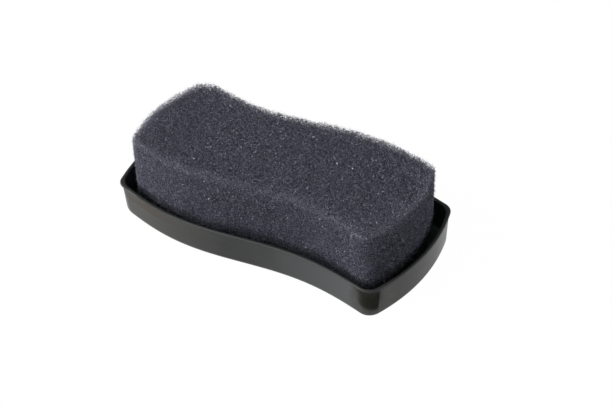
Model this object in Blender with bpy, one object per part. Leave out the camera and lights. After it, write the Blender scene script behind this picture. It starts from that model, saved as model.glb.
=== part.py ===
# Shoe shine sponge: a wave-shaped moulded tray that holds a polish pad, a perforated plate
# and a block of open-cell polishing foam. Metres, +Z up, origin under the middle of the tray.
import math

import bmesh
import bpy
from mathutils import Vector

# Tray plan: two wave-shaped long sides and two bowed ends, the same after half a turn
TRAY_LENGTH = 0.132        # over the bowed ends
TRAY_WIDTH = 0.060         # straight across, between the corners
WAVE = 0.0040              # how far a long side swings out, and then in
TRAY_BELLY = 0.0010        # outward bow of the whole long side
TRAY_END_BOW = 0.0056      # outward bow of the short ends
SQUARE_ROUND = 0.0060      # corner radius where side and end meet nearly square
OPEN_ROUND = 0.0090        # corner radius of the wall where they open out
LIP_OPEN_ROUND = 0.0060    # the rim's lip stands out as a tighter tip there
LEAST_ROUND = 0.0004       # what is left of a corner radius low in the tray

# Tray section
TRAY_HEIGHT = 0.0138
WALL = 0.0011
FLOOR = 0.0012
DRAFT = 0.0002             # how far the wall leans in from the rim to the foot
FOOT_ROUND = 0.0022        # outer radius between wall and base
INNER_ROUND = 0.0014       # inner radius between wall and floor
LIP_OUT = 0.0003           # the rim's lip stands out from the wall by this much
LIP_HEIGHT = 0.0012
RIM_ROUND = 0.0005         # radius on the rim's two top edges

# Foam block
FOAM_SIDE_GAP = 0.0050     # from the rim to the foam's long side, at the corners
FOAM_END_GAP = 0.0053      # from the rim to the foam's short end, at the corners
FOAM_BELLY = -0.0004       # the foam's long sides are drawn in a little
FOAM_END_BOW = 0.0051
FOAM_SQUARE_ROUND = 0.0050
FOAM_OPEN_ROUND = 0.0025
FOAM_THICK = 0.028
FOAM_EDGE_ROUND = 0.0012   # worn edge round the polishing face

# Pieces under the foam: their insets count from the foam's side
WELL_INSET = 0.0020        # to the outside of the well's wall
WELL_WALL = 0.0016
PLATE_LEDGE = 0.0008       # width of the step that the perforated plate sits on
INNER_CORNER = 0.0015      # corner radius of the well, pad, plate and bond
PAD_THICK = 0.0025
PLATE_THICK = 0.0008
BOND_INSET = 0.0025
BOND_WIDTH = 0.0060
BOND_THICK = 0.0003
SEAT_GAP = 0.0003          # between a piece and what it rests on
SIDE_GAP = 0.0003          # between a piece and the wall round it

# Holes in the perforated plate
HOLE_RADIUS = 0.0020
HOLE_PITCH_X = 0.0120
HOLE_PITCH_Y = 0.0110
HOLE_MARGIN = 0.0035       # least distance from a hole's centre to the plate's side
HOLE_SIDES = 10

# Fineness of the outlines
LONG_STEPS = 20
END_STEPS = 8
CORNER_STEPS = 5
FOOT_STEPS = 4
EDGE_STEPS = 3

# The plan's corners, before rounding
CORNER_X = TRAY_LENGTH / 2 - TRAY_END_BOW
CORNER_Y = TRAY_WIDTH / 2

# Heights that follow from the stack
PAD_BASE = FLOOR + SEAT_GAP
LEDGE_TOP = PAD_BASE + PAD_THICK
PLATE_BASE = LEDGE_TOP + SEAT_GAP
WELL_TOP = PLATE_BASE + PLATE_THICK
BOND_BASE = WELL_TOP + SEAT_GAP
FOAM_BASE = BOND_BASE + BOND_THICK + SEAT_GAP


def clear_scene():
    for old in list(bpy.data.objects):
        bpy.data.objects.remove(old, do_unlink=True)


def long_bow(belly):
    """Outward offset along a long side, as a function of the fraction of its way."""
    return lambda u: WAVE * math.sin(2 * math.pi * u) + belly * math.sin(math.pi * u)


def end_bow(bow):
    """Outward offset along a short end."""
    return lambda u: bow * 4 * u * (1 - u)


def side_point(start, end, bow, u):
    along = end - start
    outward = Vector((along.y, -along.x)).normalized()
    return start + along * u + outward * bow(u)


def side_heading(start, end, bow, u):
    step = 0.001
    return (side_point(start, end, bow, u + step) - side_point(start, end, bow, u - step)).normalized()


def corner_arc(start, corner, end, turn):
    """Inner points of the circular arc tangent to start-corner and corner-end."""
    weight = math.cos(turn / 2)
    points = []
    for step in range(1, CORNER_STEPS):
        t = step / CORNER_STEPS
        a = (1 - t) ** 2
        b = 2 * t * (1 - t) * weight
        c = t ** 2
        points.append((start * a + corner * b + end * c) / (a + b + c))
    return points


def wave_plan(half_length, half_width, belly, bow, square_round, open_round):
    """The wave-shaped plan as a closed ring of points, counter-clockwise from above."""
    open_corner = Vector((-half_length, -half_width))
    square_corner = Vector((half_length, -half_width))
    corners = [open_corner, square_corner, -open_corner, -square_corner]
    rounds = [open_round, square_round, open_round, square_round]
    bows = [long_bow(belly), end_bow(bow), long_bow(belly), end_bow(bow)]
    steps = [LONG_STEPS, END_STEPS, LONG_STEPS, END_STEPS]

    turns = []
    cuts = []
    for i in range(4):
        arriving = side_heading(corners[i - 1], corners[i], bows[i - 1], 1)
        leaving = side_heading(corners[i], corners[(i + 1) % 4], bows[i], 0)
        turns.append(arriving.angle(leaving))
        cuts.append(rounds[i] * math.tan(turns[i] / 2))

    points = []
    for i in range(4):
        j = (i + 1) % 4
        k = (i + 2) % 4
        length = (corners[j] - corners[i]).length
        first = cuts[i] / length
        last = 1 - cuts[j] / length
        for step in range(steps[i] + 1):
            u = first + (last - first) * step / steps[i]
            points.append(side_point(corners[i], corners[j], bows[i], u))
        next_cut = cuts[j] / (corners[k] - corners[j]).length
        next_start = side_point(corners[j], corners[k], bows[j], next_cut)
        points += corner_arc(points[-1], corners[j], next_start, turns[j])
    return points


def tray_ring(inset, open_round=OPEN_ROUND):
    """The tray's plan drawn in from the rim by an inset."""
    return wave_plan(
        CORNER_X - inset, CORNER_Y - inset, TRAY_BELLY, TRAY_END_BOW,
        max(SQUARE_ROUND - inset, LEAST_ROUND), max(open_round - inset, LEAST_ROUND))


def foam_plan(inset, square_round, open_round):
    return wave_plan(
        CORNER_X - FOAM_END_GAP - inset, CORNER_Y - FOAM_SIDE_GAP - inset,
        FOAM_BELLY, FOAM_END_BOW, square_round, open_round)


def foam_ring(inset):
    return foam_plan(inset, FOAM_SQUARE_ROUND - inset, FOAM_OPEN_ROUND - inset)


def inner_ring(inset):
    return foam_plan(inset, INNER_CORNER, INNER_CORNER)


def loft(name, levels, hollow=False):
    """Skin a stack of (ring, height). A hollow loft closes on its own first ring."""
    mesh = bmesh.new()
    rows = []
    for ring, height in levels:
        rows.append([mesh.verts.new((point.x, point.y, height)) for point in ring])
    pairs = list(zip(rows[:-1], rows[1:]))
    if hollow:
        pairs.append((rows[-1], rows[0]))
    count = len(rows[0])
    for lower, upper in pairs:
        for i in range(count):
            j = (i + 1) % count
            mesh.faces.new((lower[i], lower[j], upper[j], upper[i]))
    if not hollow:
        mesh.faces.new(reversed(rows[0]))
        mesh.faces.new(rows[-1])
    return link_mesh(name, mesh)


def link_mesh(name, mesh):
    data = bpy.data.meshes.new(name)
    mesh.to_mesh(data)
    mesh.free()
    piece = bpy.data.objects.new(name, data)
    bpy.context.collection.objects.link(piece)
    return piece


def finish(piece, colour, roughness):
    """Give a piece its own material, and smooth shading with its sharp edges kept."""
    material = bpy.data.materials.new(piece.name)
    material.use_nodes = True
    shader = material.node_tree.nodes["Principled BSDF"]
    shader.inputs["Base Color"].default_value = (*colour, 1)
    shader.inputs["Roughness"].default_value = roughness
    shader.inputs["Metallic"].default_value = 0
    piece.data.materials.append(material)
    piece.data.shade_smooth()
    piece.data.set_sharp_from_angle(angle=math.radians(35))


def section_arc(centre_inset, centre_height, radius, start, end, steps):
    """(inset, height) along an arc: 0 degrees points inward from the side, 90 points up."""
    pairs = []
    for step in range(steps + 1):
        angle = math.radians(start + (end - start) * step / steps)
        pairs.append((centre_inset + radius * math.cos(angle), centre_height + radius * math.sin(angle)))
    return pairs


def make_base_tray():
    """Up the outside, over the rim, down the inside, then over the well to its floor."""
    foot = LIP_OUT + DRAFT
    lip_foot = TRAY_HEIGHT - LIP_HEIGHT
    inner_rim = LIP_OUT + WALL
    inner_foot = inner_rim + DRAFT
    round_height = TRAY_HEIGHT - RIM_ROUND
    outside = section_arc(foot + FOOT_ROUND, FOOT_ROUND, FOOT_ROUND, 270, 180, FOOT_STEPS)
    outside.append((LIP_OUT, lip_foot))
    lip = [(0, lip_foot + LIP_OUT)]
    lip += section_arc(RIM_ROUND, round_height, RIM_ROUND, 180, 90, EDGE_STEPS)
    inside = section_arc(inner_rim - RIM_ROUND, round_height, RIM_ROUND, 90, 0, EDGE_STEPS)
    inside += section_arc(
        inner_foot + INNER_ROUND, FLOOR + INNER_ROUND, INNER_ROUND, 180, 270, EDGE_STEPS)
    well_inside = WELL_INSET + WELL_WALL
    ledge = well_inside - PLATE_LEDGE
    well = [
        (WELL_INSET, FLOOR),
        (WELL_INSET, WELL_TOP),
        (ledge, WELL_TOP),
        (ledge, LEDGE_TOP),
        (well_inside, LEDGE_TOP),
        (well_inside, FLOOR),
    ]
    levels = [(tray_ring(inset), height) for inset, height in outside]
    levels += [(tray_ring(inset, LIP_OPEN_ROUND), height) for inset, height in lip]
    levels += [(tray_ring(inset), height) for inset, height in inside]
    levels += [(inner_ring(inset), height) for inset, height in well]
    finish(loft("base_tray", levels), (0.012, 0.012, 0.012), 0.28)


def make_reservoir_pad():
    outline = inner_ring(WELL_INSET + WELL_WALL + SIDE_GAP)
    pad = loft("reservoir_pad", [(outline, PAD_BASE), (outline, PAD_BASE + PAD_THICK)])
    finish(pad, (0.55, 0.53, 0.48), 0.95)


def make_plate_holes(half_length, half_width):
    """One cutter of short prisms, in columns and rows that follow the wave."""
    columns = int((half_length - HOLE_MARGIN) / HOLE_PITCH_X)
    rows = int((half_width - HOLE_MARGIN) / HOLE_PITCH_Y + 0.5)
    middle = PLATE_BASE + PLATE_THICK / 2
    mesh = bmesh.new()
    for column in range(-columns, columns + 1):
        x = column * HOLE_PITCH_X
        wave = -WAVE * math.sin(math.pi * (x / half_length + 1))
        for row in range(-rows, rows):
            y = (row + 0.5) * HOLE_PITCH_Y + wave
            made = bmesh.ops.create_cone(
                mesh, cap_ends=True, segments=HOLE_SIDES,
                radius1=HOLE_RADIUS, radius2=HOLE_RADIUS, depth=PLATE_THICK * 3)
            bmesh.ops.translate(mesh, verts=made["verts"], vec=(x, y, middle))
    cutter = link_mesh("plate_holes", mesh)
    cutter.hide_render = True
    cutter.display_type = 'WIRE'
    return cutter


def make_diffuser_plate():
    inset = WELL_INSET + WELL_WALL - PLATE_LEDGE + SIDE_GAP
    outline = inner_ring(inset)
    plate = loft("diffuser_plate", [(outline, PLATE_BASE), (outline, PLATE_BASE + PLATE_THICK)])
    holes = plate.modifiers.new("holes", 'BOOLEAN')
    holes.operation = 'DIFFERENCE'
    holes.object = make_plate_holes(
        CORNER_X - FOAM_END_GAP - inset, CORNER_Y - FOAM_SIDE_GAP - inset)
    finish(plate, (0.02, 0.02, 0.02), 0.4)


def make_foam_bond():
    outer = inner_ring(BOND_INSET)
    inner = inner_ring(BOND_INSET + BOND_WIDTH)
    top = BOND_BASE + BOND_THICK
    levels = [(outer, BOND_BASE), (outer, top), (inner, top), (inner, BOND_BASE)]
    finish(loft("foam_bond", levels, hollow=True), (0.55, 0.45, 0.25), 0.35)


def make_sponge_block():
    edge = section_arc(
        FOAM_EDGE_ROUND, FOAM_BASE + FOAM_THICK - FOAM_EDGE_ROUND, FOAM_EDGE_ROUND,
        180, 90, EDGE_STEPS)
    levels = [(foam_ring(0), FOAM_BASE)]
    levels += [(foam_ring(inset), height) for inset, height in edge]
    finish(loft("sponge_block", levels), (0.045, 0.045, 0.058), 0.95)


clear_scene()
make_base_tray()
make_reservoir_pad()
make_diffuser_plate()
make_foam_bond()
make_sponge_block()
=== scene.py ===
# Shoe shine sponge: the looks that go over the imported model
import math

import bmesh
import bpy
import numpy as np
from mathutils import Matrix, Vector


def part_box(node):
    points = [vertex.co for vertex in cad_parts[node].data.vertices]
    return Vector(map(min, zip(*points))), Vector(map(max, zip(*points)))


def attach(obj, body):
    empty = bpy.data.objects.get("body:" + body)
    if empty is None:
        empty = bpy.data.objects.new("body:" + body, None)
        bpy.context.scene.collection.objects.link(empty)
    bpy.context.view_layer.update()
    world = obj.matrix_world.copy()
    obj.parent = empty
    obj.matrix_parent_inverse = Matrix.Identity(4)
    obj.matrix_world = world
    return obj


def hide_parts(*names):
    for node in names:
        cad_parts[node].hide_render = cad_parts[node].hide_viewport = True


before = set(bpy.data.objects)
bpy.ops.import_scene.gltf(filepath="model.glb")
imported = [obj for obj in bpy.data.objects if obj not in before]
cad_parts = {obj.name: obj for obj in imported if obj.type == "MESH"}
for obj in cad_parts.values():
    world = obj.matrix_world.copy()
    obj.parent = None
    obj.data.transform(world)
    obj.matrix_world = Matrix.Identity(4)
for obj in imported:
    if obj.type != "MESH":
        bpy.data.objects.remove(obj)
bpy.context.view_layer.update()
mm = 0.001
_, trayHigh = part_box("base_tray")
foamLow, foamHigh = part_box("sponge_block")
print("frame loaded:", ", ".join(sorted(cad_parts)))


def hexColour(code):
    values = [int(code[i:i + 2], 16) / 255 for i in (1, 3, 5)]
    linear = [v / 12.92 if v <= 0.04045 else ((v + 0.055) / 1.055) ** 2.4 for v in values]
    return (*linear, 1)


# Adds a node: inputs are its sockets, each set to a value or linked to another node's output, stops are the places
# and colours of a ramp, and settings are the node's own
def addNode(tree, kind, inputs=None, stops=(), **settings):
    node = tree.nodes.new(kind)
    for name, value in settings.items():
        setattr(node, name, value)
    for i, (place, code) in enumerate(stops):
        points = node.color_ramp.elements
        point = points[i] if i < len(points) else points.new(place)
        point.position = place
        point.color = hexColour(code)
    for name, value in (inputs or {}).items():
        if isinstance(value, bpy.types.NodeSocket):
            tree.links.new(value, node.inputs[name])
        else:
            node.inputs[name].default_value = value
    return node


def newMaterial(name):
    material = bpy.data.materials.new(name)
    material.use_nodes = True
    material.node_tree.nodes.clear()
    return material


# Where the photograph was taken from, round the middle of the tray. Angles in degrees
viewPoint = {"lens": 78.79, "turn": 37.05, "rise": 40.19, "distance": 543.1 * mm,
             "pan": 0.99, "tilt": 0.69, "roll": -2.57, "nearest": 10 * mm}


def turnedBy(degrees, axis):
    return Matrix.Rotation(math.radians(degrees), 4, axis)


def makeCamera(view):
    bpy.ops.object.camera_add()
    camera = bpy.context.object
    camera.data.lens = view["lens"]
    camera.data.sensor_width = 36
    camera.data.clip_start = view["nearest"]
    facing = turnedBy(view["turn"], 'Z') @ turnedBy(90 - view["rise"], 'X')
    place = facing @ Vector((0, 0, view["distance"]))
    aim = facing @ turnedBy(-view["pan"], 'Y') @ turnedBy(view["tilt"], 'X') @ turnedBy(view["roll"], 'Z')
    camera.matrix_world = Matrix.Translation(place) @ aim
    bpy.context.scene.camera = camera


makeCamera(viewPoint)
print("camera placed")


# The plan that tray and foam share: the long sides swing out and in, and the ends bow out
waveShape = {"swing": 4.0 * mm, "longSteps": 64, "endSteps": 26, "cornerSteps": 12}


# Where a long side (belly) or an end (bow) runs, at a fraction u of its way from corner to corner
def sidePoint(start, end, belly, bow, u):
    along = end - start
    outward = Vector((along.y, -along.x)).normalized()
    offset = bow * 4 * u * (1 - u)
    if belly is not None:
        offset = waveShape["swing"] * math.sin(2 * math.pi * u) + belly * math.sin(math.pi * u)
    return start + along * u + outward * offset


def sideHeading(start, end, belly, bow, u):
    step = 0.001    # of the side's length
    ahead = sidePoint(start, end, belly, bow, u + step)
    return (ahead - sidePoint(start, end, belly, bow, u - step)).normalized()


# One ring of the plan, counter-clockwise from above. The corners take turns: open, square, open, square, and the
# last of them, at the back, can have its own round
def wavePlan(halfLength, halfWidth, belly, bow, squareRound, openRound, backRound=None):
    openCorner = Vector((-halfLength, -halfWidth))
    squareCorner = Vector((halfLength, -halfWidth))
    corners = [openCorner, squareCorner, -openCorner, -squareCorner]
    rounds = [openRound, squareRound, openRound, backRound or squareRound]
    bellies = [belly, None, belly, None]
    steps = [waveShape["longSteps"], waveShape["endSteps"]] * 2
    turns = []
    cuts = []
    for i in range(4):
        arriving = sideHeading(corners[i - 1], corners[i], bellies[i - 1], bow, 1)
        leaving = sideHeading(corners[i], corners[(i + 1) % 4], bellies[i], bow, 0)
        turns.append(arriving.angle(leaving))
        cuts.append(rounds[i] * math.tan(turns[i] / 2))
    ring = []
    for i in range(4):
        j = (i + 1) % 4
        start, end, after = corners[i], corners[j], corners[(i + 2) % 4]
        first = cuts[i] / (end - start).length
        last = 1 - cuts[j] / (end - start).length
        for step in range(steps[i] + 1):
            ring.append(sidePoint(start, end, bellies[i], bow, first + (last - first) * step / steps[i]))
        leave = sidePoint(end, after, bellies[j], bow, cuts[j] / (after - end).length)
        weight = math.cos(turns[j] / 2)
        arrive = ring[-1]
        for step in range(1, waveShape["cornerSteps"]):
            t = step / waveShape["cornerSteps"]
            a, b, c = (1 - t) ** 2, 2 * t * (1 - t) * weight, t ** 2
            ring.append((arrive * a + end * b + leave * c) / (a + b + c))
    return ring


# A piece starts as a filled circle, whose points are laid on the plan. Their station is their number round it
def startPiece(name, ring, height):
    bpy.ops.object.select_all(action='DESELECT')
    bpy.ops.mesh.primitive_circle_add(vertices=len(ring), radius=10 * mm, fill_type='NGON')
    piece = bpy.context.object
    piece.name = name
    station = piece.data.attributes.new("station", 'INT', 'POINT')
    station.data.foreach_set("value", range(len(ring)))
    piece.data.attributes.new("outerWall", 'FLOAT', 'POINT')
    bpy.ops.object.mode_set(mode='EDIT')
    bpy.ops.mesh.select_all(action='SELECT')
    layRing(piece, ring, height)
    return piece


def layRing(piece, ring, height, outerWall=0):
    mesh = bmesh.from_edit_mesh(piece.data)
    station = mesh.verts.layers.int["station"]
    outerWallLayer = mesh.verts.layers.float["outerWall"]
    for vertex in mesh.verts:
        if vertex.select:
            vertex.co = (*ring[vertex[station]], height)
            vertex[outerWallLayer] = outerWall
    bmesh.update_edit_mesh(piece.data)


def extrudeTo(piece, ring, height, outerWall=0):
    bpy.ops.mesh.extrude_region_move()
    layRing(piece, ring, height, outerWall)


def closePiece(piece):
    bpy.ops.mesh.select_all(action='SELECT')
    bpy.ops.mesh.normals_make_consistent(inside=False)
    bpy.ops.object.mode_set(mode='OBJECT')
    piece.data.attributes.remove(piece.data.attributes["station"])


# (inset, height) along an arc of a section: 0 degrees points in from the side, 90 up
def sectionArc(centreInset, centreHeight, radius, start, end, steps):
    pairs = []
    for step in range(steps + 1):
        angle = math.radians(start + (end - start) * step / steps)
        pairs.append((centreInset + radius * math.cos(angle), centreHeight + radius * math.sin(angle)))
    return pairs


foamShape = {
    "sideGap": 5.0 * mm,       # from the tray's rim to the foam's side, at the corners
    "endGap": 5.3 * mm,
    "belly": -0.4 * mm, "endBow": 5.1 * mm,
}
trayShape = {
    "halfWidth": 30 * mm, "belly": 1.0 * mm, "endBow": 5.6 * mm,
    "squareRound": 6.0 * mm, "openRound": 9.0 * mm, "lipOpenRound": 5.5 * mm, "footOpenRound": 12.0 * mm,
    "wall": 1.1 * mm, "floor": 1.2 * mm, "draft": 0.2 * mm,
    "footRound": 1.9 * mm, "innerRound": 1.4 * mm,
    "lipOut": 0.3 * mm, "lipHeight": 0.9 * mm, "rimRound": 0.5 * mm, "roundSteps": 5, "footSteps": 8,
    "wellInset": 2.0 * mm, "wellWall": 1.6 * mm, "wellTop": 5.1 * mm,    # the pad's well, from the foam's side
    "ledge": 0.8 * mm, "ledgeTop": 4.0 * mm, "wellCorner": 1.5 * mm,
    "support": 0.6 * mm,       # spare rings beside the rounds keep the flat walls flat to the light
    "crease": 32,              # degrees, past which an edge stays sharp
}
halfLength = trayHigh.x - trayShape["endBow"]


def trayRing(inset, openRound=None):
    s = trayShape
    openRound = openRound or s["openRound"]
    return wavePlan(halfLength - inset, s["halfWidth"] - inset, s["belly"], s["endBow"],
                    s["squareRound"] - inset, openRound - inset)


def foamRing(inset, squareRound, openRound, backRound=None):
    s = foamShape
    return wavePlan(halfLength - s["endGap"] - inset, trayShape["halfWidth"] - s["sideGap"] - inset,
                    s["belly"], s["endBow"], squareRound, openRound, backRound)


# One moulding: up the outside, over the lip, down the inside and over the well that holds the pad
def makeTray():
    s = trayShape
    foot = s["lipOut"] + s["draft"]
    height = trayHigh.z
    lipFoot = height - s["lipHeight"]
    rimInside = s["lipOut"] + s["wall"]
    innerFoot = rimInside + s["draft"]
    outside = [(foot + s["footRound"], 0)]
    outside += sectionArc(foot + s["footRound"], s["footRound"], s["footRound"], 270, 180, s["footSteps"])[1:]
    outside += [(foot, s["footRound"] + s["support"]), (s["lipOut"], lipFoot - s["support"]), (s["lipOut"], lipFoot)]
    lip = [(0, lipFoot + s["lipOut"])]
    lip += sectionArc(s["rimRound"], height - s["rimRound"], s["rimRound"], 180, 90, s["roundSteps"])
    inside = sectionArc(rimInside - s["rimRound"], height - s["rimRound"], s["rimRound"], 90, 0, s["roundSteps"])
    inside += [(rimInside, height - s["rimRound"] - s["support"])]
    inside += [(innerFoot, s["floor"] + s["innerRound"] + s["support"])]
    inside += sectionArc(innerFoot + s["innerRound"], s["floor"] + s["innerRound"], s["innerRound"], 180, 270,
                         s["roundSteps"])
    wellInside = s["wellInset"] + s["wellWall"]
    well = [
        (s["wellInset"], s["floor"]), (s["wellInset"], s["wellTop"]),
        (wellInside - s["ledge"], s["wellTop"]), (wellInside - s["ledge"], s["ledgeTop"]),
        (wellInside, s["ledgeTop"]), (wellInside, s["floor"]),
    ]
    tray = startPiece("tray_moulding", trayRing(foot + s["footRound"] + s["support"], s["footOpenRound"]), 0)
    for inset, level in outside:
        openRound = s["footOpenRound"] + (s["openRound"] - s["footOpenRound"]) * level / lipFoot
        extrudeTo(tray, trayRing(inset, openRound), level, outerWall=1)
    for inset, level in lip:
        extrudeTo(tray, trayRing(inset, s["lipOpenRound"]), level)
    for inset, level in inside:
        extrudeTo(tray, trayRing(inset), level)
    for inset, level in well:
        extrudeTo(tray, foamRing(inset, s["wellCorner"], s["wellCorner"]), level)
    closePiece(tray)
    bpy.ops.object.shade_smooth_by_angle(angle=math.radians(s["crease"]))
    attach(tray, "root")
    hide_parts("base_tray")
    return tray


tray = makeTray()
print("tray modelled:", len(tray.data.polygons), "faces")


coreShape = {
    "depth": 0.85 * mm,        # from the block's faces to where the eye no longer gets through
    "edgeRound": 1.2 * mm, "squareRound": 4.2 * mm, "openRound": 3.2 * mm, "backRound": 6.6 * mm,
    "edgeSteps": 5,
    "voxel": 0.48 * mm,
    "pitSize": 1.2 * mm, "pitDepth": 0.35 * mm,
}


def coreRing(inset):
    s = coreShape
    deeper = inset - s["depth"]
    return foamRing(inset, s["squareRound"] - deeper, s["openRound"] - deeper, s["backRound"] - deeper)


# The inside of the foam: a block with a pit for each cell that is cut open
def makeCore():
    s = coreShape
    depth = s["depth"]
    core = startPiece("foam_core", coreRing(depth), foamLow.z)
    for inset, level in sectionArc(depth + s["edgeRound"], foamHigh.z - depth - s["edgeRound"], s["edgeRound"],
                                   180, 90, s["edgeSteps"]):
        extrudeTo(core, coreRing(inset), level)
    closePiece(core)
    core.data.remesh_voxel_size = s["voxel"]
    bpy.ops.object.voxel_remesh()
    pits = bpy.data.textures.new("foam_pits", 'VORONOI')
    pits.noise_scale = s["pitSize"]
    pits.noise_intensity = 1
    dents = core.modifiers.new("pits", 'DISPLACE')
    dents.texture = pits
    dents.texture_coords = 'LOCAL'
    dents.strength = s["pitDepth"]
    dents.mid_level = 1
    bpy.ops.object.modifier_apply(modifier=dents.name)
    bpy.ops.object.shade_smooth()
    return core


core = makeCore()
print("foam core modelled:", len(core.data.polygons), "faces")


cellShape = {
    "cell": 1.03 * mm,         # across one cell, from face to face
    "strand": 0.138 * mm,      # width of the strands between the cells
    "strandSpread": 0.30, "dropped": 0.05,
    "strandLength": 0.354,     # from one corner of a cell to the next, in cells
    "jitter": 0.25,            # how far the corners stray, in strands
    "depth": 0.15 * mm,        # how far into the dense inside the strands go on
    "sideIn": 0.10 * mm,       # the fuzz of the cut sides takes the rest up to the block's full size
    "edge": 0.8 * mm,          # round of the upper edges
    "topOut": 1.3 * mm,        # the polishing face is rubbed up, and its outermost layer is sparse
    "sparse": 0.86, "sparseFrom": 1.1 * mm,    # how far under the block's top the layer begins
    "whole": 0.35,             # share of the strands at the cut that the knife left whole, and that stand proud
    "second": 0.30,            # share of their neighbours that still hang on them
    "overrun": 0.35,           # the rest may stand past the cut by up to this share of their length
    "loose": (0.3, 1),         # how much is left of the neighbours
    "tip": 0.35,               # what is left of a cut strand's width at its tip
    "cutSwell": 0.11 * mm, "swellLengths": (2.6 * mm, 5.3 * mm),    # the cut face is never quite flat
    "drift": 0.35 * mm, "driftLengths": (7 * mm, 7 * mm * 0.45),    # whole regions of cells wander
    "tilt": (31, 17, 23),      # degrees, so that no row of cells lines up with a face
    "squareRound": 3.6 * mm, "openRound": 1.4 * mm, "backRound": 8.0 * mm,    # corners, before the block is waved
    "films": 0.10, "filmDepth": 0.6 * mm, "filmThick": 0.05 * mm,    # share of the windows that keep their film
    "hairs": 1.0, "hair": 0.07 * mm, "hairSpread": 0.3, "hairProud": 0.45 * mm,    # hairs for each corner at the cut
    "hairRoot": 0.45 * mm,     # the deepest that a hair starts under the cut face
    "hairLean": 0.55,
    "edgeLightWidth": 2.1 * mm, "edgeLightFrom": 0.8 * mm,    # the band of painted light along its upper edges begins a little inside them
    "edgeLightUpright": 0.6,        # and the upright edges get less painted light
    "lowest": 9.0 * mm,        # below this the tray hides the cells
    "pieces": 10, "seed": 11,
}


# Distance into the block from its sides and top, for points in the straight block before it is waved. shape holds
# the rounds of its corners
def foamDepth(points, half, shape, top, edge):
    isOpen = points[:, 0] * points[:, 1] > 0
    isBack = points[:, 0] < 0
    corner = np.where(isOpen, shape["openRound"], np.where(isBack, shape["backRound"], shape["squareRound"]))
    side = np.abs(points[:, :2]) - (half - corner[:, None])
    beyond = np.linalg.norm(np.maximum(side, 0), axis=1) + np.minimum(side.max(1), 0) - corner
    above = points[:, 2] - top
    both = np.stack([beyond + edge, above + edge], 1)
    return -(np.linalg.norm(np.maximum(both, 0), axis=1) + np.minimum(both.max(1), 0) - edge)


# Lays points of the straight block on the foam's plan
def wavePoints(points, half):
    s = foamShape
    u = (points[:, 0] + half[0]) / (2 * half[0])
    across = points[:, 1] / half[1]
    y = points[:, 1] + s["belly"] * np.sin(np.pi * np.clip(u, 0, 1)) * across
    y = y - waveShape["swing"] * np.sin(2 * np.pi * u)
    x = points[:, 0] + s["endBow"] * (1 - across ** 2) * points[:, 0] / half[0]
    return np.stack([x, y, points[:, 2]], 1)


# A truncated octahedron, the shape that foam cells settle into, in quarter cells: its corners, edges and faces
def cellForm():
    corners = [corner for corner in np.ndindex(5, 5, 5) if sorted(abs(n - 2) for n in corner) == [0, 1, 2]]
    corners = np.array(corners) - 2
    gaps = ((corners[:, None] - corners[None]) ** 2).sum(2)
    edges = np.argwhere(np.triu(gaps == 2))
    faces = []
    for facing in np.ndindex(3, 3, 3):
        facing = np.array(facing) - 1
        sides = np.abs(facing).sum()
        if sides not in (1, 3):
            continue
        reach = corners @ facing
        ring = np.flatnonzero(reach == reach.max())
        across = np.cross(facing, corners[ring[0]])
        angle = np.arctan2(corners[ring] @ across / np.linalg.norm(across),
                           (corners[ring] - facing * reach.max() / sides) @ corners[ring[0]])
        faces.append((facing * reach.max() / sides, ring[np.argsort(angle)]))
    return corners, edges, faces


# Distance into the dense inside
def insideDepth(points, half):
    s = coreShape
    return foamDepth(points, half - s["depth"], s, foamHigh.z - s["depth"], s["edgeRound"])


# A random swell at the points: a few sine waves, each about as long as length, that add up to height at most
def swellAt(points, rng, length, height, waves):
    heading = rng.normal(0, 1, (3, waves))
    phase = rng.uniform(0, 2 * np.pi, waves)
    usual = 1.7    # the usual size of such a heading
    return height / waves * np.sin(points @ heading / length * 2 * np.pi / usual + phase).sum(1)


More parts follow.
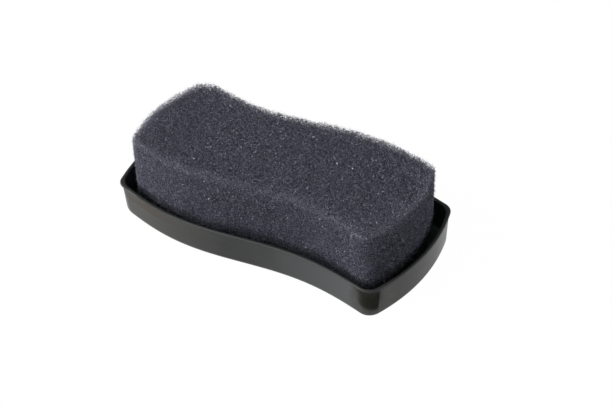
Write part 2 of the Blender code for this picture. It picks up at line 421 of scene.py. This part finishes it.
def growCells():
    s = cellShape
    rng = np.random.default_rng(s["seed"])
    half = np.array([halfLength - foamShape["endGap"], trayShape["halfWidth"] - foamShape["sideGap"]]) - s["sideIn"]
    middle = np.array([0, 0, (foamLow.z + foamHigh.z) / 2])
    turn = np.eye(3)
    for degrees, axis in zip(s["tilt"], 'XYZ'):
        turn = np.array(Matrix.Rotation(math.radians(degrees), 3, axis)) @ turn
    quarter = s["cell"] / 4
    top = foamHigh.z + s["topOut"]

    # Cells pack body-centred. Those in the outer layer are kept
    reach = int(np.linalg.norm([*half, (foamHigh.z - foamLow.z) / 2]) / s["cell"]) + 2
    steps = np.arange(-reach, reach + 1) * 4
    grid = np.stack(np.meshgrid(steps, steps, steps, indexing='ij'), -1).reshape(-1, 3)
    cells = np.concatenate([grid, grid + 2])
    places = cells * quarter @ turn.T + middle
    margin = 1.5 * s["cell"]
    near = (np.abs(places[:, :2]) < half + margin).all(1)
    near &= (places[:, 2] > foamLow.z - margin) & (places[:, 2] < foamHigh.z + margin)
    cells, places = cells[near], places[near]
    cells = cells[(foamDepth(places, half, s, top, s["edge"]) > -margin) & (insideDepth(places, half) < margin)]

    # Corners, edges and faces that neighbours share are kept once
    corners, edges, faces = cellForm()
    nodes = (cells[:, None] + corners[None]).reshape(-1, 3)
    first = len(corners) * np.arange(len(cells))[:, None, None]
    pairs = (edges[None] + first).reshape(-1, 2)
    nodes, number = np.unique(nodes, axis=0, return_inverse=True)
    number = number.reshape(-1)
    pairs = np.unique(np.sort(number[pairs], axis=1), axis=0)
    films = {4: [], 6: []}
    for centre, ring in faces:
        films[len(ring)].append((cells + centre, number[ring[None] + first[:, 0]]))
    for sides, found in films.items():
        centres = np.concatenate([centre for centre, ring in found]).round().astype(int)
        rings = np.concatenate([ring for centre, ring in found])
        films[sides] = rings[np.unique(centres, axis=0, return_index=True)[1]]

    # Every cell is a little different: the corners stray, and whole regions drift
    points = nodes * quarter @ turn.T + middle
    points += rng.normal(0, s["jitter"] * s["cell"] * s["strandLength"], points.shape)
    for length in s["driftLengths"]:
        for axis in range(3):
            points[:, axis] += swellAt(points, rng, length, s["drift"], 4)
    depth = foamDepth(points, half, s, top, s["edge"])
    for length in s["swellLengths"]:
        depth += swellAt(points, rng, length, s["cutSwell"], 5)
    return rng, half, points, depth, pairs, films


# Which strands are there, each from its deeper end to its outer one, and how much of it is left
def keptStrands(rng, half, points, depth, pairs):
    s = cellShape
    deeper = depth[pairs[:, 0]] < depth[pairs[:, 1]]
    start = np.where(deeper, pairs[:, 1], pairs[:, 0])
    end = np.where(deeper, pairs[:, 0], pairs[:, 1])
    luck = rng.random(len(pairs))
    above = np.minimum(points[start, 2], points[end, 2]) > s["lowest"]
    within = insideDepth(points, half)
    height = (points[end, 2] - foamHigh.z + s["sparseFrom"]) / (s["topOut"] + s["sparseFrom"])
    dropped = s["dropped"] + (s["sparse"] - s["dropped"]) * height.clip(0, 1)
    inside = above & (depth[start] > 0) & (within[end] < s["depth"]) & (luck > dropped)
    crossing = inside & (depth[end] < 0)
    whole = crossing & (rng.random(len(pairs)) < s["whole"])
    length = np.where(crossing & ~whole, depth[start] / np.maximum(depth[start] - depth[end], 1e-9), 1)
    length = np.minimum(length + crossing * rng.uniform(0, s["overrun"], len(pairs)), 1)
    reached = np.zeros(len(points), bool)
    reached[end[whole]] = True
    loose = above & (depth[start] <= 0) & (reached[start] | reached[end]) & (rng.random(len(pairs)) < s["second"])
    flip = loose & ~reached[start]
    start, end = np.where(flip, end, start), np.where(flip, start, end)
    length = np.where(loose, rng.uniform(*s["loose"], len(pairs)), length)
    keep = inside | loose
    return start[keep], end[keep], length[keep], (crossing | loose)[keep]


# Random numbers round 0, none of them far out
def spread(rng, count):
    return rng.normal(0, 1, count).clip(-2, 2)


# Two directions across each strand, from the upright, or from x where the strand itself is nearly upright
def acrossStrands(along):
    helper = np.where(np.abs(along[:, 2:]) < 0.8, [[0, 0, 1]], [[1, 0, 0]])
    first = np.cross(along, helper)
    first /= np.linalg.norm(first, axis=1, keepdims=True)
    return first, np.cross(along, first)


def unit(vectors):
    return vectors / np.maximum(np.linalg.norm(vectors, axis=1, keepdims=True), 1e-9)


# How much painted light lightens the foam, up to 1, for points in the straight block: along its upper edges, and less
# along its upright ones
def paintedEdgeLightAt(points, half):
    s = cellShape
    side = half - np.abs(points[:, :2])
    fromUpper = np.linalg.norm(np.stack([side.min(1) - s["edgeLightFrom"], foamHigh.z - points[:, 2]], 1), axis=1)
    fromUpright = np.linalg.norm(side, axis=1)
    upper = np.exp(-(fromUpper / s["edgeLightWidth"]) ** 2)
    upright = s["edgeLightUpright"] * np.exp(-(fromUpright / s["edgeLightWidth"]) ** 2)
    return np.maximum(upper, upright)


# A strand is a closed solid with four faces, whose two ends are short edges at right angles. Seen from afar it is
# as wide as the round strand, and its normals are the round strand's too
def wedges(rng, half, start, end, width, tip):
    paintedEdgeLight = paintedEdgeLightAt((start + end) / 2, half)
    start, end = wavePoints(start, half), wavePoints(end, half)
    first, second = acrossStrands(unit(end - start))
    spin = rng.uniform(0, 2 * np.pi, len(start))[:, None]
    across, over = first * np.cos(spin) + second * np.sin(spin), second * np.cos(spin) - first * np.sin(spin)
    reach = (0.75 * width)[:, None]    # half the length of an end's edge
    corners = [start + across * reach, start - across * reach, end + over * reach * tip, end - over * reach * tip]
    return np.stack(corners, 1), np.stack([across, -across, over, -over], 1), paintedEdgeLight


def strandWedges(rng, half, points, kept):
    s = cellShape
    startNode, endNode, length, cut = kept
    start, end = points[startNode], points[endNode]
    end = start + (end - start) * length[:, None]
    width = s["strand"] * (1 + s["strandSpread"] * spread(rng, len(start)))
    return wedges(rng, half, start, end, width, np.where(cut, s["tip"], 1)[:, None])


# Torn cell walls stand up from the cut face as short fine hairs
def hairWedges(rng, half, points, depth):
    s = cellShape
    base = np.flatnonzero((depth > 0) & (depth < s["hairRoot"]) & (points[:, 2] > s["lowest"]))
    base = rng.choice(base, int(len(base) * s["hairs"]))
    start = points[base]
    step = 0.01 * mm    # short enough to feel which way is out
    top = foamHigh.z + s["topOut"]
    out = [foamDepth(start - np.eye(3)[axis] * step, half, s, top, s["edge"])
           - foamDepth(start + np.eye(3)[axis] * step, half, s, top, s["edge"]) for axis in range(3)]
    heading = unit(unit(np.stack(out, 1)) + rng.normal(0, s["hairLean"], start.shape))
    reach = depth[base] + rng.exponential(s["hairProud"], len(base)).clip(0, 3 * s["hairProud"])
    width = s["hair"] * (1 + s["hairSpread"] * spread(rng, len(start)))
    return wedges(rng, half, start, start + heading * reach[:, None], width, s["tip"])


# Some windows between cells keep their film: a thin lens on the ring of its corners
def filmCorners(rng, half, points, depth, rings):
    s = cellShape
    deep = depth[rings]
    keep = (deep.min(1) > 0) & (deep.mean(1) < s["filmDepth"]) & (rng.random(len(rings)) < s["films"])
    paintedEdgeLight = paintedEdgeLightAt(points[rings[keep]].mean(1), half)
    ring = wavePoints(points[rings[keep]].reshape(-1, 3), half).reshape(keep.sum(), -1, 3)
    middle = ring.mean(1)
    facing = np.cross(ring - middle[:, None], np.roll(ring, -1, 1) - middle[:, None]).sum(1)
    facing /= np.linalg.norm(facing, axis=1, keepdims=True)
    bulge = facing * s["filmThick"] / 2
    return np.concatenate([ring, (middle + bulge)[:, None], (middle - bulge)[:, None]], 1), paintedEdgeLight


# One mesh of many small closed solids alike. Each has a tone, whose brightest values give painted glints, the painted
# edge light of its place, and its own square on the map that its colour is baked to
def meshOfMany(name, corners, paintedEdgeLight, form, flat, rng, outward=None):
    count, size = corners.shape[:2]
    faces = (form[None] + size * np.arange(count)[:, None, None]).reshape(-1)
    across = math.ceil(math.sqrt(count))
    square = np.stack([np.arange(count) % across, np.arange(count) // across], 1) + 0.5
    places = ((square[:, None] + flat[None]) / across).reshape(-1, 2)
    mesh = bpy.data.meshes.new(name)
    mesh.vertices.add(count * size)
    mesh.vertices.foreach_set("co", corners.reshape(-1))
    mesh.loops.add(len(faces))
    mesh.loops.foreach_set("vertex_index", faces)
    mesh.polygons.add(len(faces) // 3)
    mesh.polygons.foreach_set("loop_start", np.arange(0, len(faces), 3))
    mesh.update(calc_edges=True)
    mesh.uv_layers.new(name="OFBake")
    mesh.uv_layers[0].uv.foreach_set("vector", places[faces].reshape(-1))
    mesh.shade_smooth()
    if outward is not None:
        mesh.normals_split_custom_set_from_vertices(outward.reshape(-1, 3))
    for attribute, values in (("toneAndGlint", rng.random(count)), ("paintedEdgeLight", paintedEdgeLight)):
        mesh.attributes.new(attribute, 'FLOAT', 'POINT').data.foreach_set("value", np.repeat(values, size))
    piece = bpy.data.objects.new(name, mesh)
    bpy.context.collection.objects.link(piece)
    return piece


# A ring of points that fills most of a square of the map
def flatRing(sides):
    angle = 2 * np.pi * np.arange(sides) / sides
    return 0.42 * np.stack([np.cos(angle), np.sin(angle)], 1)


# The faces of a film, and where its points lie in its square
def lens(sides):
    faces = []
    for i in range(sides):
        j = (i + 1) % sides
        faces += [(i, j, sides), (j, i, sides + 1)]
    return np.array(faces), np.concatenate([flatRing(sides), np.zeros((2, 2))])


rng, half, points, depth, pairs, films = growCells()
kept = keptStrands(rng, half, points, depth, pairs)
corners, outward, paintedEdgeLight = [np.concatenate(both) for both in zip(strandWedges(rng, half, points, kept),
                                                               hairWedges(rng, half, points, depth))]
wedge = np.array([(0, 1, 2), (0, 3, 1), (2, 3, 0), (3, 2, 1)])
order = np.argsort(corners[:, 0, 0], kind='stable')
strands = []
for i, part in enumerate(np.array_split(order, cellShape["pieces"])):    # shared out along the sponge
    strands.append(meshOfMany(f"foam_cells_{i + 1}", corners[part], paintedEdgeLight[part], wedge, flatRing(4)[[0, 2, 1, 3]],
                              rng, outward[part]))
windows = []
for sides, rings in films.items():
    ringCorners, ringEdgeLight = filmCorners(rng, half, points, depth, rings)
    windows.append(meshOfMany(f"foam_films_{sides}", ringCorners, ringEdgeLight, *lens(sides), rng))
for piece in [core] + windows + strands:
    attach(piece, "root")
    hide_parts("sponge_block")
print("foam cells modelled:", len(corners), "strands,", [len(piece.data.polygons) for piece in windows],
      "film faces")


# Injection-moulded polystyrene, black: deep and glossy. Its outer walls are painted lighter, darker and tinted along
# their length, darkest in the middle and at the far end: painted reflection of the floor they mirror. Brown polish
# dried in smears under the lip of one end, which take some of the depth off. The lip is worn matt
def trayPlastic():
    material = newMaterial("black_moulded_polystyrene")
    tree = material.node_tree
    where = addNode(tree, "ShaderNodeTexCoord").outputs["Object"]
    x, y, z = addNode(tree, "ShaderNodeSeparateXYZ", {0: where}).outputs
    cloud = addNode(tree, "ShaderNodeTexNoise", {"Vector": where, "Scale": 1 / (9 * mm), "Detail": 3}).outputs[0]
    squashed = addNode(tree, "ShaderNodeMapping", {"Vector": where, "Scale": (0.8, 0.8, 6)}).outputs[0]
    smears = addNode(tree, "ShaderNodeTexNoise", {"Vector": squashed, "Scale": 1 / (11 * mm), "Detail": 4,
                                                  "Roughness": 0.6}).outputs[0]

    # The painted reflection along the tray's walls, with clouded borders
    station = addNode(tree, "ShaderNodeMapRange", {0: x, 1: -66 * mm, 2: 66 * mm}).outputs[0]
    shift = addNode(tree, "ShaderNodeMath", {0: cloud, 1: 0.12, 2: -0.06}, operation='MULTIPLY_ADD').outputs[0]
    shifted = addNode(tree, "ShaderNodeMath", {0: station, 1: shift}, operation='ADD').outputs[0]
    paintedWallReflection = addNode(tree, "ShaderNodeValToRGB", {0: shifted}, [
        (0.06, "#1c1d1a"), (0.15, "#272923"), (0.34, "#282a26"), (0.46, "#0f0f0f"), (0.54, "#181818"),
        (0.66, "#343536"), (0.88, "#3d3e40"), (0.91, "#2a2824"), (0.97, "#302e29"), (0.985, "#0f0f0f")]).outputs[0]

    # The smears
    under = addNode(tree, "ShaderNodeMapRange", {0: z, 1: 4 * mm, 2: 12 * mm}).outputs[0]
    end = addNode(tree, "ShaderNodeMapRange", {0: x, 1: -12 * mm, 2: -40 * mm}).outputs[0]
    streaks = addNode(tree, "ShaderNodeMapRange", {0: smears, 1: 0.38, 2: 0.52}).outputs[0]
    dried = addNode(tree, "ShaderNodeMath", {0: under, 1: end}, operation='MULTIPLY').outputs[0]
    dried = addNode(tree, "ShaderNodeMath", {0: dried, 1: streaks}, operation='MULTIPLY').outputs[0]
    reflectionAndSmears = addNode(tree, "ShaderNodeMix", {0: dried, 6: paintedWallReflection, 7: hexColour("#2c1d0a")}, data_type='RGBA').outputs[2]

    # Only the outer walls carry the painted reflection and the smears. The lip starts at the rise
    outerWall = addNode(tree, "ShaderNodeAttribute", attribute_name="outerWall").outputs["Fac"]
    thickness = addNode(tree, "ShaderNodeMapRange", {0: smears, 3: 0.6, 4: 1.2}).outputs[0]
    patchy = addNode(tree, "ShaderNodeMath", {0: outerWall, 1: thickness}, operation='MULTIPLY',
                     use_clamp=True).outputs[0]
    rise = addNode(tree, "ShaderNodeMapRange", {0: z, 1: 12.8 * mm, 2: 13.8 * mm}).outputs[0]
    # Painted light: below the lip the inner walls are painted a lighter, greener grey than the lip's black, where the
    # moat lies in shade
    clean = addNode(tree, "ShaderNodeValToRGB", {0: rise}, [(0, "#333b3a"), (1, "#111313")]).outputs[0]
    colour = addNode(tree, "ShaderNodeMix", {0: patchy, 6: clean, 7: reflectionAndSmears}, data_type='RGBA').outputs[2]
    fine = addNode(tree, "ShaderNodeTexNoise", {"Vector": where, "Scale": 1 / (1.2 * mm), "Detail": 2}).outputs[0]
    bump = addNode(tree, "ShaderNodeBump", {"Height": fine, "Strength": 0.12, "Distance": 0.05 * mm}).outputs[0]
    matt = addNode(tree, "ShaderNodeMapRange", {0: smears, 3: 0.16, 4: 0.28}).outputs[0]
    matt = addNode(tree, "ShaderNodeMath", {0: dried, 1: 0.2, 2: matt}, operation='MULTIPLY_ADD').outputs[0]
    matt = addNode(tree, "ShaderNodeMath", {0: rise, 1: 0.45, 2: matt}, operation='MULTIPLY_ADD').outputs[0]
    shader = addNode(tree, "ShaderNodeBsdfPrincipled", {"Base Color": colour, "Roughness": matt, "IOR": 1.59,
                                                        "Normal": bump})
    addNode(tree, "ShaderNodeOutputMaterial", {"Surface": shader.outputs["BSDF"]})
    return material


# Open-cell polyurethane foam, dyed dark violet grey. Each strand turns its own way and its tone is its own; the
# brightest tones are painted glints, in some places more than in others. Low down the colour is painted cooler and a
# little lighter, painted light; its foot is painted darker towards the tray, painted shade; its edges are painted pale
def foamStrands():
    material = newMaterial("open_cell_polyurethane_strands")
    tree = material.node_tree
    where = addNode(tree, "ShaderNodeTexCoord").outputs["Object"]
    cloud = addNode(tree, "ShaderNodeTexNoise", {"Vector": where, "Scale": 1 / (5 * mm), "Detail": 2}).outputs[0]
    shift = addNode(tree, "ShaderNodeMath", {0: cloud, 1: 0.10, 2: -0.05}, operation='MULTIPLY_ADD').outputs[0]
    toneAndGlint = addNode(tree, "ShaderNodeAttribute", attribute_name="toneAndGlint").outputs["Fac"]
    shifted = addNode(tree, "ShaderNodeMath", {0: toneAndGlint, 1: shift}, operation='ADD').outputs[0]
    # The brightest stops of the ramp are painted glints
    dyedWithPaintedGlints = addNode(tree, "ShaderNodeValToRGB", {0: shifted}, [
        (0, "#33333b"), (0.5, "#616170"), (0.8, "#828296"), (0.95, "#aeaec2"), (1, "#e8e8f6")]).outputs[0]
    height = addNode(tree, "ShaderNodeSeparateXYZ", {0: where}).outputs[2]
    # Painted light: lower down the strands are painted cooler and a little lighter, where less light reaches them
    paintedLowLight = addNode(tree, "ShaderNodeMapRange", {0: height, 1: 22 * mm, 2: 13 * mm}).outputs[0]
    withPaintedLowLight = addNode(tree, "ShaderNodeMix", {0: paintedLowLight, 6: dyedWithPaintedGlints, 7: hexColour("#101c20")}, data_type='RGBA',
                    blend_type='ADD').outputs[2]
    # Painted shade: below about 13 mm the strands are painted darker towards the tray
    paintedFootShade = addNode(tree, "ShaderNodeMapRange", {0: height, 1: 13.4 * mm, 2: 11 * mm, 4: 0.42}).outputs[0]
    darkened = addNode(tree, "ShaderNodeMix", {0: paintedFootShade, 6: withPaintedLowLight, 7: hexColour("#0c0e11")}, data_type='RGBA').outputs[2]
    # Painted light: the strands along the block's edges are painted paler
    paintedEdgeLight = addNode(tree, "ShaderNodeAttribute", attribute_name="paintedEdgeLight").outputs["Fac"]
    colour = addNode(tree, "ShaderNodeMix", {0: paintedEdgeLight, 6: darkened, 7: hexColour("#444449")}, data_type='RGBA',
                     blend_type='ADD').outputs[2]
    matt = addNode(tree, "ShaderNodeMapRange", {0: toneAndGlint, 3: 0.55, 4: 0.28}).outputs[0]
    shader = addNode(tree, "ShaderNodeBsdfPrincipled", {"Base Color": colour, "Roughness": matt, "IOR": 1.5})
    addNode(tree, "ShaderNodeOutputMaterial", {"Surface": shader.outputs["BSDF"]})
    return material


# The same foam deeper down, its colour painted darker than the strands: painted shade, where little light gets in
def foamInside():
    material = newMaterial("open_cell_polyurethane_inside")
    tree = material.node_tree
    where = addNode(tree, "ShaderNodeTexCoord").outputs["Object"]
    grain = addNode(tree, "ShaderNodeTexNoise", {"Vector": where, "Scale": 1 / (0.7 * mm), "Detail": 2,
                                                 "Roughness": 0.6}).outputs[0]
    colour = addNode(tree, "ShaderNodeValToRGB", {0: grain}, [
        (0.35, "#1d1d23"), (0.55, "#33333c"), (0.7, "#53535f")]).outputs[0]
    matt = addNode(tree, "ShaderNodeMapRange", {0: grain, 3: 0.95, 4: 0.75}).outputs[0]
    shader = addNode(tree, "ShaderNodeBsdfPrincipled", {"Base Color": colour, "Roughness": matt, "IOR": 1.5})
    addNode(tree, "ShaderNodeOutputMaterial", {"Surface": shader.outputs["BSDF"]})
    return material


# Pressed wool felt, off-white, here and there stained by the polish it holds: matt and fibrous
def padFelt():
    material = newMaterial("pressed_wool_felt")
    tree = material.node_tree
    where = addNode(tree, "ShaderNodeTexCoord").outputs["Object"]
    pressed = addNode(tree, "ShaderNodeMapping", {"Vector": where, "Scale": (1, 1, 3)}).outputs[0]
    fibres = addNode(tree, "ShaderNodeTexNoise", {"Vector": pressed, "Scale": 1 / (0.35 * mm), "Detail": 4,
                                                  "Roughness": 0.7}).outputs[0]
    stain = addNode(tree, "ShaderNodeTexNoise", {"Vector": where, "Scale": 1 / (12 * mm), "Detail": 2}).outputs[0]
    clean = addNode(tree, "ShaderNodeValToRGB", {0: fibres}, [(0.3, "#b3ad9d"), (0.7, "#dcd6c8")]).outputs[0]
    darkened = addNode(tree, "ShaderNodeValToRGB", {0: fibres}, [(0.3, "#8f7f63"), (0.7, "#b7a585")]).outputs[0]
    share = addNode(tree, "ShaderNodeMapRange", {0: stain, 1: 0.5, 2: 0.7}).outputs[0]
    colour = addNode(tree, "ShaderNodeMix", {0: share, 6: clean, 7: darkened}, data_type='RGBA').outputs[2]
    bump = addNode(tree, "ShaderNodeBump", {"Height": fibres, "Strength": 0.5, "Distance": 0.15 * mm}).outputs[0]
    matt = addNode(tree, "ShaderNodeMapRange", {0: fibres, 3: 0.98, 4: 0.85}).outputs[0]
    shader = addNode(tree, "ShaderNodeBsdfPrincipled", {"Base Color": colour, "Roughness": matt, "Normal": bump})
    addNode(tree, "ShaderNodeOutputMaterial", {"Surface": shader.outputs["BSDF"]})
    return material


# Injection-moulded polypropylene, black: satin, with the fine spark-eroded grain of its mould
def platePlastic():
    material = newMaterial("black_moulded_polypropylene")
    tree = material.node_tree
    where = addNode(tree, "ShaderNodeTexCoord").outputs["Object"]
    grain = addNode(tree, "ShaderNodeTexNoise", {"Vector": where, "Scale": 1 / (0.5 * mm), "Detail": 3}).outputs[0]
    colour = addNode(tree, "ShaderNodeValToRGB", {0: grain}, [(0.3, "#151515"), (0.7, "#1e1e1e")]).outputs[0]
    bump = addNode(tree, "ShaderNodeBump", {"Height": grain, "Strength": 0.3, "Distance": 0.03 * mm}).outputs[0]
    matt = addNode(tree, "ShaderNodeMapRange", {0: grain, 3: 0.42, 4: 0.55}).outputs[0]
    shader = addNode(tree, "ShaderNodeBsdfPrincipled", {"Base Color": colour, "Roughness": matt, "IOR": 1.49,
                                                        "Normal": bump})
    addNode(tree, "ShaderNodeOutputMaterial", {"Surface": shader.outputs["BSDF"]})
    return material


# Hot-melt adhesive, set: cloudy amber with a waxy shine
def hotMelt():
    material = newMaterial("set_hot_melt_adhesive")
    tree = material.node_tree
    where = addNode(tree, "ShaderNodeTexCoord").outputs["Object"]
    cloud = addNode(tree, "ShaderNodeTexNoise", {"Vector": where, "Scale": 1 / (4 * mm), "Detail": 3}).outputs[0]
    colour = addNode(tree, "ShaderNodeValToRGB", {0: cloud}, [
        (0.3, "#a8875a"), (0.55, "#c9ab74"), (0.75, "#dcc594")]).outputs[0]
    swell = addNode(tree, "ShaderNodeTexNoise", {"Vector": where, "Scale": 1 / (2.2 * mm), "Detail": 1}).outputs[0]
    bump = addNode(tree, "ShaderNodeBump", {"Height": swell, "Strength": 0.4, "Distance": 0.2 * mm}).outputs[0]
    matt = addNode(tree, "ShaderNodeMapRange", {0: cloud, 3: 0.28, 4: 0.42}).outputs[0]
    shader = addNode(tree, "ShaderNodeBsdfPrincipled", {
        "Base Color": colour, "Roughness": matt, "IOR": 1.48, "Normal": bump,
        "Subsurface Weight": 0.3, "Subsurface Radius": (1.0 * mm, 0.6 * mm, 0.3 * mm), "Subsurface Scale": 1})
    addNode(tree, "ShaderNodeOutputMaterial", {"Surface": shader.outputs["BSDF"]})
    return material


def dress(piece, material):
    piece.data.materials.clear()
    piece.data.materials.append(material)


dress(tray, trayPlastic())
dress(core, foamInside())
strandMaterial = foamStrands()
for piece in strands + windows:
    dress(piece, strandMaterial)
for node, material in (("reservoir_pad", padFelt()), ("diffuser_plate", platePlastic()), ("foam_bond", hotMelt())):
    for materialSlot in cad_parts[node].material_slots:
        materialSlot.material = material
print("materials made")


# Where each lamp stands, how wide it is, and its power. They all face the middle of the tray's foot
studioLamps = {
    "key": ((-0.456, -0.651, 0.40), 0.9, 9.2), "top": ((0, 0, 1.0), 0.5, 1.2),
    "left": ((-0.56, -0.19, 0.21), 0.3, 2.3), "side": ((0.41, 0.2, 0.2), 0.3, 1.05),
}
studioShape = {
    "floorSize": 4, "floorHeight": -0.1 * mm, "floorGlow": 1.02,
    "airLight": 0.1, "airMirrored": 0.04, "airSeen": 0.9,    # strength of the air: as light, and what is added to it
    "cardRadius": 20 * mm, "cardWidth": 10.6 * mm, "cardPlace": (55.5 * mm, -23.5 * mm, 0.2 * mm), "cardSides": 48,
    "cutPlace": (58.2 * mm, -28.3 * mm, 0), "cutFacing": (0.46, -0.89, 0),    # the ring of card ends here
}


# The studio: a white floor and soft light. Floor and air are white to the eye, dimmer in what the tray mirrors, and
# add only a little to the light
def makeStudio():
    s = studioShape
    bpy.ops.object.select_all(action='DESELECT')
    bpy.ops.mesh.primitive_plane_add(size=s["floorSize"], location=(0, 0, s["floorHeight"]))
    floor = bpy.context.object
    floor.name = "floor"
    material = newMaterial("white_floor")
    tree = material.node_tree
    light = addNode(tree, "ShaderNodeLightPath")
    where = addNode(tree, "ShaderNodeTexCoord").outputs["Object"]
    x = addNode(tree, "ShaderNodeSeparateXYZ", {0: where}).outputs[0]
    shade = addNode(tree, "ShaderNodeMapRange", {0: x, 1: 60 * mm, 2: 69 * mm, 3: 0.6, 4: 0.53})    # dimmer at one end
    bent = addNode(tree, "ShaderNodeMath", {0: light.outputs["Is Glossy Ray"],
                                            1: light.outputs["Is Transmission Ray"]}, operation='MAXIMUM')
    mirrored = addNode(tree, "ShaderNodeMath", {0: bent.outputs[0], 1: shade.outputs[0]}, operation='MULTIPLY')
    amount = addNode(tree, "ShaderNodeMath", {0: light.outputs["Is Camera Ray"], 1: 0.97, 2: mirrored.outputs[0]},
                     operation='MULTIPLY_ADD')
    paper = addNode(tree, "ShaderNodeBsdfDiffuse", {"Color": hexColour("#adadad")})
    glow = addNode(tree, "ShaderNodeEmission", {"Color": (1, 1, 1, 1), "Strength": s["floorGlow"]})
    mix = addNode(tree, "ShaderNodeMixShader", {0: amount.outputs[0], 1: paper.outputs[0], 2: glow.outputs[0]})
    addNode(tree, "ShaderNodeOutputMaterial", {"Surface": mix.outputs[0]})
    dress(floor, material)

    # A small black collar of card round the front corner, which only the glossy tray mirrors
    bpy.ops.mesh.primitive_circle_add(vertices=s["cardSides"], radius=s["cardRadius"], fill_type='NGON',
                                      location=s["cardPlace"])
    card = bpy.context.object
    card.name = "card"
    bpy.ops.object.transform_apply()
    bpy.ops.object.mode_set(mode='EDIT')
    bpy.ops.mesh.select_all(action='SELECT')
    bpy.ops.mesh.inset(thickness=s["cardWidth"])
    bpy.ops.mesh.delete(type='FACE')
    bpy.ops.mesh.select_all(action='SELECT')
    bpy.ops.mesh.bisect(plane_co=s["cutPlace"], plane_no=s["cutFacing"], clear_inner=True)
    bpy.ops.object.mode_set(mode='OBJECT')
    material = newMaterial("black_card")
    soot = addNode(material.node_tree, "ShaderNodeBsdfDiffuse", {"Color": hexColour("#050505")})
    addNode(material.node_tree, "ShaderNodeOutputMaterial", {"Surface": soot.outputs[0]})
    dress(card, material)
    card.visible_camera = card.visible_shadow = card.visible_diffuse = False

    world = bpy.data.worlds.new("studio")
    bpy.context.scene.world = world
    world.use_nodes = True
    tree = world.node_tree
    tree.nodes.clear()
    light = addNode(tree, "ShaderNodeLightPath")
    bent = addNode(tree, "ShaderNodeMath", {0: light.outputs["Is Glossy Ray"],
                                            1: light.outputs["Is Transmission Ray"]}, operation='MAXIMUM')
    dim = addNode(tree, "ShaderNodeMath", {0: bent.outputs[0], 1: s["airMirrored"], 2: s["airLight"]},
                  operation='MULTIPLY_ADD')
    strength = addNode(tree, "ShaderNodeMath", {0: light.outputs["Is Camera Ray"], 1: s["airSeen"],
                                                2: dim.outputs[0]}, operation='MULTIPLY_ADD')
    air = addNode(tree, "ShaderNodeBackground", {"Color": (1, 1, 1, 1), "Strength": strength.outputs[0]})
    addNode(tree, "ShaderNodeOutputWorld", {"Surface": air.outputs[0]})

    for name, (place, size, power) in studioLamps.items():
        bpy.ops.object.light_add(type='AREA', location=place)
        lamp = bpy.context.object
        lamp.name = name
        lamp.data.shape = 'SQUARE'
        lamp.data.size = size
        lamp.data.energy = power
        lamp.rotation_euler = (-Vector(place)).to_track_quat('-Z', 'Y').to_euler()


makeStudio()
bpy.context.scene.view_settings.view_transform = 'Standard'
print("studio lit")
